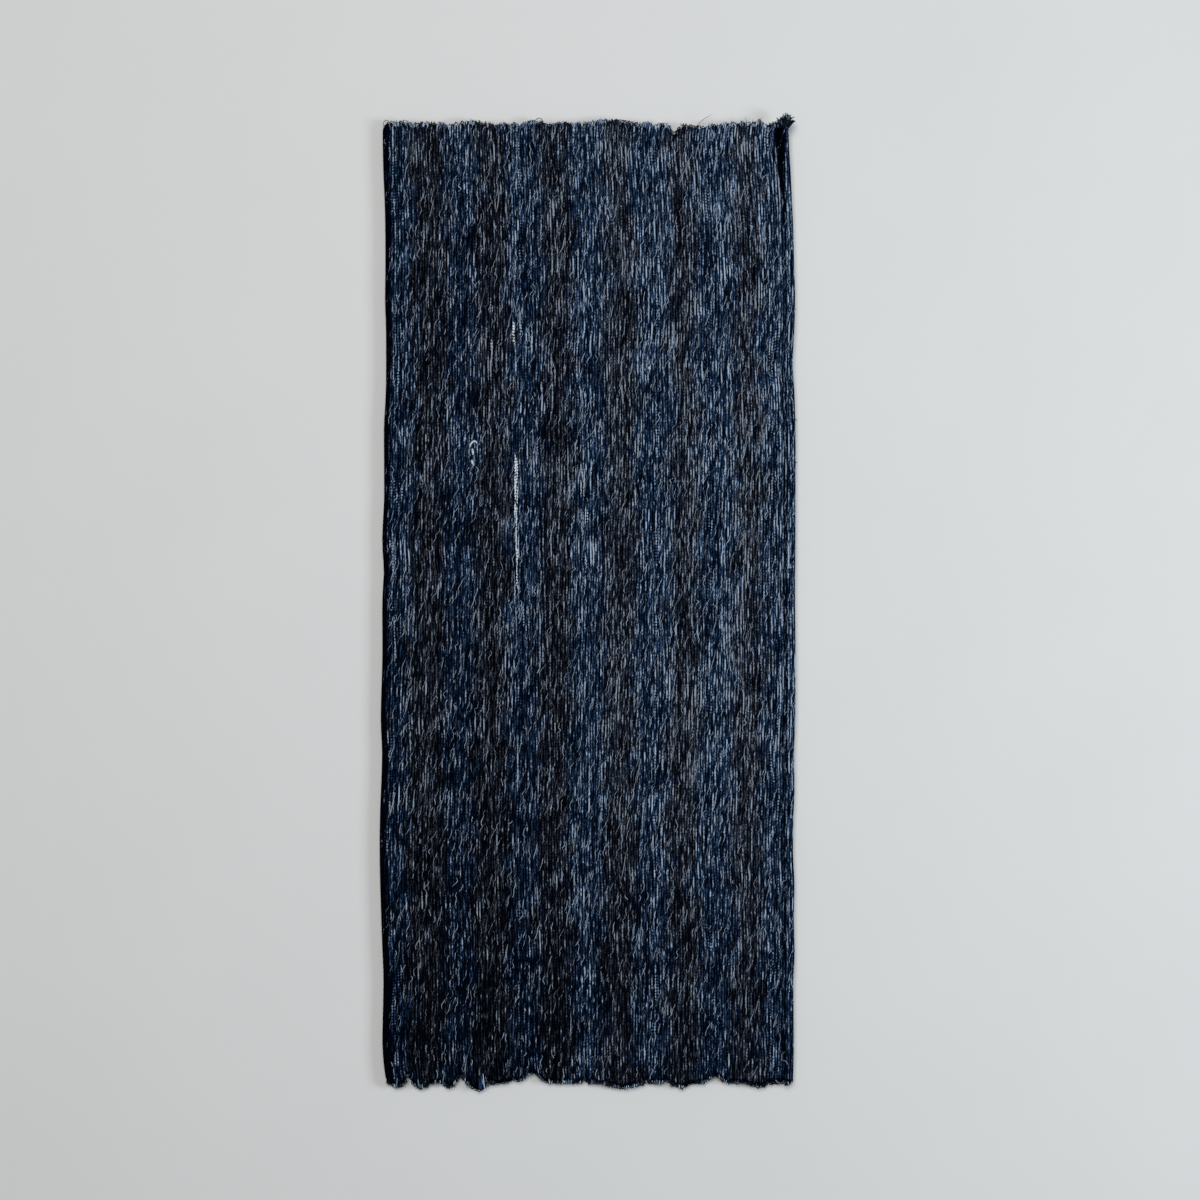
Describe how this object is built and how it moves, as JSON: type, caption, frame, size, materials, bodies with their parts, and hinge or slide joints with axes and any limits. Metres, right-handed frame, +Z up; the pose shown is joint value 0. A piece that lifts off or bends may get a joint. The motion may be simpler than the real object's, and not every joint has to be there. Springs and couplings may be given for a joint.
{
  "type": "folded rag rug",
  "caption": "Ribbed woven cotton rag rug, folded back and forth into a flat stack, with a narrow turned hem and uneven selvedges.",
  "frame": {"origin": "middle of the folded rug's footprint, on the surface that it lies on", "axes": "+Y along the ribs, from one selvedge to the other; +X across the ribs, from the upper fold towards the hemmed edge; +Z up, out of the top layer"},
  "size_m": [0.3956, 0.9268, 0.0205],
  "materials": {
    "rag_weave": "fine straight ribs of recycled cotton rag in soft stripes of dark blue and charcoal, with sparse pale streaks, matt"
  },
  "bodies": {
    "root": {"rug": "rag_weave"}
  },
  "joints": []
}
